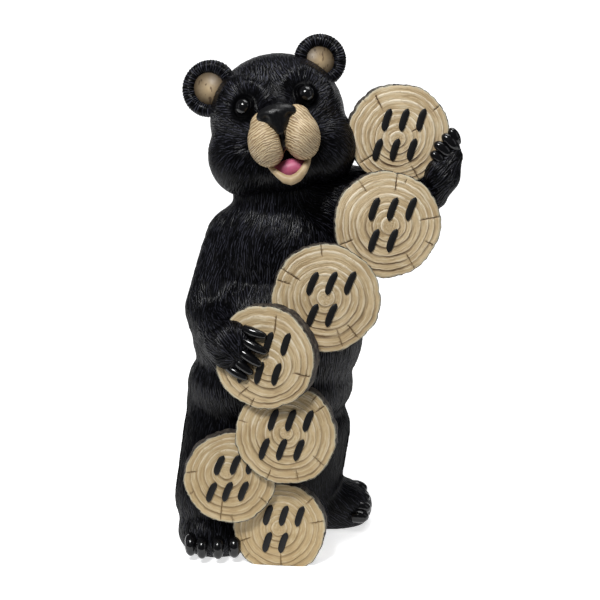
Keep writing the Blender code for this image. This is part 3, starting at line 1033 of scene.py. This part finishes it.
def comb(data, hair, width, length, spacing, relief, share, rng, stray):
    """Carves tufts into a skin. Sizes are in parts, and share is 1 where the fur is full."""
    points, normals = read_points(data), read_normals(data)
    seeds = scattered(points, spacing * PART, rng)
    flow, out = hair[seeds], normals[seeds]
    turn = rng.normal(0, stray, len(seeds))[:, None]
    side = np.cross(out, flow)
    flow = unit(flow * np.cos(turn) + side * np.sin(turn))
    side = np.cross(out, flow)
    size = rng.uniform(0.75, 1.25, (len(seeds), 2)) * np.array([width, length]) * PART
    bend = rng.normal(0, 0.12, len(seeds)) / (length * PART)
    lift = rng.uniform(0.7, 1.15, len(seeds))
    middles = points[seeds]
    nearest = neighbours(points, middles, NEAR_TUFTS)

    def measured(places, tufts):
        away = places - middles[tufts]
        along = np.sum(away * flow[tufts], -1)
        across = np.sum(away * side[tufts], -1) - bend[tufts] * along**2
        return across, along

    across, along = measured(points[:, None, :], nearest)
    toward = along / size[nearest, 1] + 0.5
    half = 0.5 * size[nearest, 0] * (1 - np.clip(toward, 0, 1) ** 3) + 1e-6
    round_top = np.clip(1 - (across / half) ** 2, 0, 1)
    blade = (0.25 + 0.75 * toward) * round_top**0.7 * (1 - step(0.90, 1.0, toward)) * lift[nearest]
    facing = np.sum(normals[:, None, :] * out[nearest], -1)
    blade = np.where((toward > 0) & (facing > 0.2), blade, 0)
    best = (np.arange(len(points)), np.argmax(blade, 1))
    height, owner = blade[best], nearest[best]
    write_points(data, points + normals * (relief * PART * (height - TUFT_MIDDLE) * share)[:, None])
    hair_coordinates(data, points, height, owner, measured)


def hair_coordinates(data, points, height, owner, measured):
    """Stores, for each corner of each face, millimetres across and along the face's own tuft."""
    corners = read_corners(data)
    starts = np.empty(len(data.polygons), np.int32)
    totals = np.empty(len(data.polygons), np.int32)
    data.polygons.foreach_get("loop_start", starts)
    data.polygons.foreach_get("loop_total", totals)
    top = corners[starts]
    for k in range(1, totals.min()):
        other = corners[starts + k]
        top = np.where(height[other] > height[top], other, top)
    tufts = np.repeat(owner[top], totals)
    across, along = measured(points[corners], tufts)
    store_strands(data, across / PART, along / PART, tufts * 3.17)


def fur_share_on_body(points):
    """Full on the body and thin at the soles."""
    return 0.35 + 0.65 * step(6, 40, points[:, 2] / PART)


rng = np.random.default_rng(7)
body_points, body_normals = read_points(body_skin), read_normals(body_skin)
body_hair = hair_on_body(body_points, body_normals)
comb(body_skin, body_hair, 8.0, 32.0, 8.4, 1.3, fur_share_on_body(body_points), rng, stray=0.13)
grounded = read_points(body_skin)
grounded[:, 2] = np.maximum(grounded[:, 2], 0)
write_points(body_skin, grounded)
legs = (1 - step(130, 220, body_points[:, 2] / PART)) * step(20, 90, body_points[:, 2] / PART)
store(body_skin, "bare", 0.2 + 0.45 * legs)
body_skin.name = "body_fur"
as_piece(body_skin, (FUR,))
print("body fur:", len(body_skin.polygons), "faces")

# %% [markdown]
# ## The head
#
# The skull, the cheeks and the jaw are lumps too. Brow ridges, sockets and lids are pushed out of the skin
# or into it by smooth rules that look at the distance from each eye.

# %% Head skin
EYES = ((-36.5, 51, 29), (33.5, 51, 28.5))
EYE_RADIUS = 9.0
BROW_REACH = 28
HEAD_LUMPS = (
    ((-4.5, -8, 6), (77.5, 74, 73.5)),
    ((-50, 10, -28), (41.5, 46, 46)),
    ((38, 10, -32), (41, 46, 46)),
    ((-3, 12, -42), (60, 50, 36)),
    ((0, 44, 4), (34, 30, 28)),
    ((-2, 56, 15), (21, 33, 16)),
)


def face_relief(places):
    """How far the skin stands out round the eyes: sockets, lids and brow ridges."""
    out = np.zeros(len(places))
    front = step(10, 30, places[:, 1])
    for eye in EYES:
        side = math.copysign(1, eye[0])
        right = (places[:, 0] - eye[0]) * side
        up = places[:, 2] - eye[2]
        reach = np.hypot(right, up)
        angle = np.degrees(np.arctan2(up, right))
        window = step(-35, 5, angle) * (1 - step(125, 165, angle))
        ridge = 3.6 * np.exp(-(((reach - BROW_REACH) / 7.5) ** 2)) * window
        hollow = -2.6 * np.exp(-(((reach - 15.5) / 6.0) ** 2))
        apart = np.linalg.norm(places - np.array(eye), axis=1)
        lid = 2.3 * np.exp(-(((apart - 11.2) / 1.5) ** 2))
        out += (ridge + hollow) * front + lid * step(2, 8, places[:, 1] - eye[1] + 8)
    return out


head_skin = melted_again(melted(head_lumps(*HEAD_LUMPS), 3.4, 20), 1.12, 5)
head_points, head_normals = read_points(head_skin), read_normals(head_skin)
write_points(head_skin, head_points + head_normals * (PART * face_relief(head_places(head_points)))[:, None])
print("head skin:", len(head_skin.vertices), "points")

# %% [markdown]
# On the face the hair grows away from the nose, and round each eye it stands out like rays, which makes the
# bright brow. Behind the ears it turns down to the neck.


# %% Hair on the head
def hair_on_head(points, normals):
    places = head_places(points)
    bridge = places - np.array([0, 84, -14])
    total = unit(bridge) * (0.4 + 0.6 * step(-20, 30, places[:, 1]))[:, None]
    total += np.array([0, 0, -1.2]) * (1 - step(-30, 25, places[:, 1]))[:, None]
    total += np.array([0, 0, -0.8]) * (1 - step(-40, 0, places[:, 2]))[:, None]
    for eye in EYES:
        rays = places - np.array(eye)
        apart = np.linalg.norm(rays, axis=1)
        near = np.exp(-(((apart - 24) / 16) ** 2)) * step(-12, 6, rays[:, 2])
        total += 2.6 * near[:, None] * unit(rays)
    world = total @ np.array([HEAD_RIGHT, HEAD_FRONT, HEAD_UP])
    world -= np.sum(world * normals, 1, keepdims=True) * normals
    return unit(world)


def fur_share_on_head(points):
    """Full fur, but short and shallow close to the eyes and beside the muzzle."""
    places = head_places(points)
    share = np.ones(len(points))
    for eye in EYES:
        apart = np.linalg.norm(places - np.array(eye), axis=1)
        share *= 0.12 + 0.88 * step(13, 22, apart)
        brow = np.exp(-(((apart - BROW_REACH) / 8) ** 2)) * step(0, 10, places[:, 2] - eye[2])
        share *= 1 + 0.5 * brow
    beside = np.hypot((places[:, 0]) / 48, (places[:, 2] + 4) / 42)
    return share * (0.35 + 0.65 * np.maximum(step(0.8, 1.2, beside), 1 - step(20, 40, places[:, 1])))


def bare_on_head(points):
    """How smooth and dark the paint is: in the sockets, above the nose and a little on the cheeks."""
    places = head_places(points)
    bare = 0.35 * step(15, 40, places[:, 1]) * (1 - step(-30, 12, places[:, 2]))
    for eye in EYES:
        apart = np.linalg.norm(places - np.array(eye), axis=1)
        bare = np.maximum(bare, 1 - step(13, 24, apart))
    middle = np.linalg.norm((places - np.array([-2, 64, 24])) / np.array([22, 34, 26]), axis=1)
    return np.maximum(bare, 0.45 * (1 - step(0.5, 1.4, middle)))


rng = np.random.default_rng(11)
head_points, head_normals = read_points(head_skin), read_normals(head_skin)
head_hair = hair_on_head(head_points, head_normals)
bare = bare_on_head(head_points)
share = fur_share_on_head(head_points) * (1 - 0.9 * bare)
comb(head_skin, head_hair, 5.0, 18.0, 5.4, 0.8, share, rng, stray=0.12)
store(head_skin, "bare", bare)
head_skin.name = "head_fur"
as_piece(head_skin, (FUR,))
print("head fur:", len(head_skin.polygons), "faces")

# %% [markdown]
# ## Ears
#
# Each ear is a fat rolled rim round a flat tan plate, with a domed back. The rim's grid runs round the roll,
# as its hairs do, and its grooves follow the grid.

# %% Ears
EARS = (
    ("left", Vector((-127, 2, 538)), Vector((-0.22, -1.0, 0.10)), 25.0),
    ("right", Vector((-1, 2, 569.6)), Vector((0.16, -1.0, 0.16)), 22.8),
)
EAR_ROLL = 7.6


def ear_frame(centre, axis):
    """The ear's own right, up and outward directions as rows, and its centre, in parts."""
    out = np.array(axis.normalized())
    right = unit(np.cross(np.array([0, 0, 1.0]), out))
    return np.array([right, np.cross(out, right), out]), np.array(centre)


def ear_rim(name, centre, axis, radius, around=236, roll=26):
    axes, middle = ear_frame(centre, axis)
    rng = np.random.default_rng(len(name))
    turn = np.linspace(0, 2 * math.pi, around, endpoint=False)[:, None]
    bend = np.linspace(0, 2 * math.pi, roll, endpoint=False)[None, :]
    slant = turn + 0.05 * np.sin(bend + 3 * turn)
    grooves = np.sin(59 * slant + 0.8 * np.sin(9 * turn)) + 0.4 * np.sin(97 * slant + 2)
    strength = 0.30 + 0.16 * np.sin(13 * turn + 1) + 0.05 * rng.normal(size=(around, 1))
    thick = EAR_ROLL * (1 + 0.05 * np.sin(2 * turn)) + strength * grooves
    out = radius + thick * np.cos(bend)
    local = polar(out, turn, thick * 0.86 * np.sin(bend))
    points = rows_in_metres(local.reshape(-1, 3) @ axes + middle)
    data = from_arrays(f"ear_rim_{name}", points, grid_faces(around, roll, closed_rows=True))
    corners = read_corners(data)
    across = (turn * radius + 0 * bend).ravel()[corners]
    store_strands(data, across, (bend * EAR_ROLL + 0 * turn).ravel()[corners], 5 + 0 * across)
    return as_piece(data, (FUR,))


def ear_plate(kind, name, centre, axis, radius, dome, back, rings=26, around=110):
    """A plate across the ear's ring, flat in front and domed behind: (mesh, places on the ear)."""
    axes, middle = ear_frame(centre, axis)
    closing = back - math.copysign(1.0, dome)
    share = np.append(np.linspace(0.02, 1, rings), 1)[:, None]
    turn = np.linspace(0, 2 * math.pi, around, endpoint=False)[None, :]
    lift = back + dome * (1 - share**2)
    lift[-1] = closing
    local = polar(radius * share + 0 * turn, turn, lift)
    local = np.concatenate([local.reshape(-1, 3), [[0, 0, back + dome], [0, 0, closing]]])
    front, rear = len(local) - 2, len(local) - 1
    faces = grid_faces(rings + 1, around)
    faces += [(front, (j + 1) % around, j) for j in range(around)]
    faces += [(rear, rings * around + j, rings * around + (j + 1) % around) for j in range(around)]
    return from_arrays(f"ear_{kind}_{name}", rows_in_metres(local @ axes + middle), faces), local


def ear_dish(name, centre, axis, radius):
    data, local = ear_plate("dish", name, centre, axis, radius - 2, -3.2, 1.6)
    turn = np.arctan2(local[:, 1], local[:, 0])
    reach = np.hypot(local[:, 0], local[:, 1]) / (radius - EAR_ROLL + 1)
    # Darker towards the rolled rim, with faint dark rays across the plate.
    store(data, "wash_and_shade", 0.5 * step(0.84, 1.0, reach) + 0.12 * np.abs(np.sin(7 * turn)) * reach)
    store(data, "black", step(0.98, 1.06, reach))
    store(data, "speckle", 0.75 + 0 * reach)
    return as_piece(data, (TAN,))


def ear_back(name, centre, axis, radius):
    data, local = ear_plate("back", name, centre, axis, radius, -4.0, -2.0)
    across, along, _ = local[read_corners(data)].T
    store_strands(data, across, along, 9 + 0 * across)
    return as_piece(data, (FUR,))


for ear in EARS:
    ear_rim(*ear)
    ear_dish(*ear)
    ear_back(*ear)
print("ears:", len(EARS))

# %% [markdown]
# ## Eyes
#
# A gloss ball in each socket. An icosphere has no pole.


# %% Eyes
def eye_piece(name, place):
    mesh = bmesh.new()
    add_ball(mesh, on_head(*place), (EYE_RADIUS,) * 3, HEAD_AXES, detail=5)
    data = in_metres(mesh, f"eye_{name}")
    data.shade_smooth()
    return as_piece(data, (GLOSS,))


for name, place in zip(("left", "right"), EYES):
    eye_piece(name, place)
print("eyes:", len(EYES))

# %% [markdown]
# ## Muzzle
#
# Two teardrop lobes meet in a dark seam under the nose, with fine washed grooves that sweep outwards. The
# lower lip is a thick roll bent to a U, with the chin behind it and the tongue inside.

# %% Muzzle, lip and chin
LIP = (
    ((-22, 70, -39), 2.6), ((-18.5, 76, -43.5), 3.2), ((-13.3, 79, -49.8), 4.0), ((-7.9, 81, -55.3), 4.9),
    ((-1.2, 81.5, -58), 5.5), ((6.4, 80.5, -56.3), 5.3), ((13.8, 78, -50.6), 4.6), ((19.6, 75, -43.4), 3.7),
    ((22, 68, -39), 3.0),
)


MUZZLE_LUMPS = (
    ((-19.5, 72, -13.5), (20.5, 29, 27)), ((-18, 68, 4), (16, 25, 17)), ((19.5, 72, -13.5), (20.5, 29, 27)),
    ((18, 68, 4), (16, 25, 17)), ((0, 66, 4), (20, 26, 18)),
)


def muzzle_piece():
    data = melted_again(melted(head_lumps(*MUZZLE_LUMPS), 1.7, 4), 0.85, 3)
    data.name = "muzzle"
    points, normals = read_points(data), read_normals(data)
    places = head_places(points)
    right, front, up = places.T
    seam_width = 1.9 + 1.6 * step(-24, 0, up)
    seam = np.exp(-(((right + 1) / seam_width) ** 2)) * step(66, 80, front) * (1 - step(6, 12, up))
    write_points(data, points - normals * (PART * 2.2 * seam)[:, None])
    # Painted shade on the lobes' undersides, above the mouth.
    shaded_underside = 1 - step(-42, -37, up)
    store(data, "wash_and_shade", np.clip(0.45 * shaded_underside, 0, 1))
    store(data, "black", np.clip(step(0.35, 0.8, seam), 0, 1))
    fade = step(1.5, 5.0, np.abs(right + 1)) * step(46, 60, front)
    store(data, "groove", fade)
    lobe = np.sign(right + 1)
    slope = np.where(lobe > 0, math.radians(-42), math.radians(10))
    bow = 0.014 * (right - 16 * lobe) ** 2
    across = up * np.cos(slope) - right * np.sin(slope) + bow
    along = right * np.cos(slope) + up * np.sin(slope)
    store(data, "strand", np.stack([across, along, 40 * lobe], 1), "FLOAT_VECTOR")
    return as_piece(data, (TAN,))


def lip_piece():
    mesh = bmesh.new()
    for (near, near_radius), (far, far_radius) in zip(LIP, LIP[1:]):
        add_limb(mesh, on_head(*near), near_radius, on_head(*far), far_radius)
    add_ball(mesh, on_head(0, 52, -53), (17, 22, 9), HEAD_AXES)
    data = melted_again(melted(mesh, 1.0, 3), 0.8, 3)
    data.name = "lower_lip"
    points = read_points(data)
    places = head_places(points)
    # A patchy tone all over, and painted shade on the lip's inner side round the tongue.
    shaded_inside = step(-50, -44, places[:, 2]) * (1 - step(70, 75, places[:, 1])) * (np.abs(places[:, 0]) < 20)
    store(data, "wash_and_shade", np.clip(0.10 + 0.4 * shaded_inside + 0.15 * patchy(places, 0.2, 5), 0, 1))
    return as_piece(data, (TAN,))


def tongue_piece():
    data = melted(head_lumps(((0.5, 66.5, -46), (20.5, 10.5, 10))), 1.0, 3)
    data.name = "tongue"
    return as_piece(data, (TONGUE,))


muzzle = muzzle_piece()
lip_piece()
tongue_piece()
print("muzzle:", len(muzzle.data.polygons), "faces")

# %% [markdown]
# ## Nose
#
# A broad rounded triangle of leathery black. The nostrils are pushed in at both sides, and a groove runs
# down the middle into the seam.

# %% Nose
NOSTRILS = ((-15.0, 95, 13.5), (12.0, 95, 11.5))


def nose_piece():
    mesh = head_lumps(((-2, 86, 16), (22.5, 13, 11)), ((-1.5, 87, 8), (12.5, 11, 10)))
    add_limb(mesh, on_head(-1.5, 88, 5), 9, on_head(-1.5, 92, -3.5), 4.2)
    data = melted_again(melted(mesh, 1.3, 14), 0.8, 4)
    data.name = "nose"
    points, normals = read_points(data), read_normals(data)
    places = head_places(points)
    inward = np.zeros(len(points))
    for spot in NOSTRILS:
        away = (places - np.array(spot)) / np.array((4.4, 9.0, 3.6))
        inward += 3.4 * np.exp(-np.sum(away**2, 1))
    middle = np.exp(-(((places[:, 0] + 1) / 1.2) ** 2)) * (1 - step(14, 21, places[:, 2]))
    inward += 1.1 * middle * step(88, 95, places[:, 1])
    write_points(data, points - normals * (PART * inward)[:, None])
    return as_piece(data, (NOSE,))


nose_piece()
print("nose done")

# %% [markdown]
# ## Fingers and toes
#
# Each finger is one tube along a bent line, thickest before its tip and rounded at the end.

# %% Fingers and toes
FINGER_PROFILE = ((0.0, 1.0), (0.3, 1.12), (0.55, 1.08), (0.75, 0.94), (0.9, 0.72), (1.0, 0.5))
TOE_PROFILE = ((0.0, 1.0), (0.4, 1.1), (0.7, 1.02), (0.9, 0.86), (1.0, 0.66))
HELD_DIGITS = (
    ((-85, 279), (-59.5, 271.5), 4.9),
    ((-87, 267), (-58.5, 253), 5.3),
    ((-91, 255.5), (-65, 238.5), 5.3),
    ((-96, 244.5), (-75, 228.5), 5.0),
    ((-103, 234), (-81, 222), 4.6),
)
RAISED_DIGITS = (
    ((152.8, 479), (143.5, 494.5), 5.4),
    ((151.5, 472), (135.5, 487.5), 6.1),
    ((144.5, 464.5), (126.5, 478.5), 6.1),
    ((136.5, 457.5), (122.5, 467.5), 5.6),
)
LEFT_TOES = ((-150, -82, 6.3), (-136.5, -91, 6.0), (-118, -92, 6.4), (-99.5, -88, 6.8))
RIGHT_TOES = (
    ((40, 58, 44), (58.5, 57, 36)),
    ((41, 46, 35), (62, 45, 28)),
    ((41, 34, 26), (62.5, 33, 19.5)),
    ((40, 24, 16), (60, 23, 12.5)),
)
RIGHT_TOE_RADIUS = 7.4
DIGIT_ROWS = 24
DIGIT_COLUMNS = 22


def digit_rows(start, bend, end, radius, profile):
    """The rings of one finger, from its root to its rounded tip."""
    start, bend, end = (np.array(place, float) for place in (start, bend, end))
    length = np.linalg.norm(end - start)
    rows = []
    for t in np.linspace(0, 1, DIGIT_ROWS):
        spine = (1 - t) ** 2 * start + 2 * t * (1 - t) * bend + t * t * end
        ahead = unit(2 * (1 - t) * (bend - start) + 2 * t * (end - bend))
        side = unit(np.cross(ahead, (0.1, 0.2, 1.0)))
        over = np.cross(side, ahead)
        cap = max((t * length - (length - 0.6 * radius)) / (0.6 * radius), 0)
        wide = radius * np.interp(t, *np.array(profile).T) * math.sqrt(max(1 - cap**2, 0.0025))
        for angle in np.linspace(0, 2 * math.pi, DIGIT_COLUMNS, endpoint=False):
            rows.append(spine + wide * (math.cos(angle) * side + math.sin(angle) * over))
    return rows


def digits_piece(name, digits, profile):
    """One piece for a whole paw's fingers, each given by its root, bend, end and radius in parts."""
    points, faces = [], []
    for start, bend, end, radius in digits:
        faces += tube_faces(len(points), DIGIT_ROWS, DIGIT_COLUMNS)
        points += digit_rows(start, bend, end, radius, profile)
    data = from_arrays(name, rows_in_metres(points), faces)
    mesh = bmesh.new()
    mesh.from_mesh(data)
    bmesh.ops.recalc_face_normals(mesh, faces=mesh.faces)
    mesh.to_mesh(data)
    mesh.free()
    return as_piece(data, (GLOSS,))


def bent_digit(start, end, radius, outward, hump=0.35):
    """Adds the bend between root and tip, pushed outward."""
    middle = (Vector(start) + Vector(end)) / 2 + Vector(outward) * radius * hump * 2
    return Vector(start), middle, Vector(end), radius


held = []
for (x, z), (tip_x, tip_z), radius in HELD_DIGITS:
    root = on_slice(HELD, x, z, 0.6 * radius)
    tip = on_slice(HELD, tip_x, tip_z, 0.5 * radius)
    held.append(bent_digit(root, tip, radius, slice_normal(HELD)))
digits_piece("held_hand_fingers", held, FINGER_PROFILE)

raised = []
for (x, z), (tip_x, tip_z), radius in RAISED_DIGITS:
    root = on_slice(RAISED, x, z, 0.3 * radius)
    tip = on_slice(RAISED, tip_x, tip_z, 0.55 * radius)
    raised.append(bent_digit(root, tip, radius, slice_normal(RAISED) + Vector((0.2, 0, 0.4)), 0.6))
digits_piece("raised_hand_fingers", raised, FINGER_PROFILE)

toes = [((x, y + 20, 22), (x, y - 6, 30), (x, y + 1, 6), 1.05 * r) for x, y, r in LEFT_TOES]
digits_piece("front_foot_toes", toes, TOE_PROFILE)
toes = [bent_digit(root, tip, RIGHT_TOE_RADIUS, (0.7, 0, 0.7)) for root, tip in RIGHT_TOES]
digits_piece("rear_foot_toes", toes, FINGER_PROFILE)
print("fingers:", len(held) + len(raised), "and toes:", len(LEFT_TOES) + len(RIGHT_TOES))

# %% Last
print("finished")
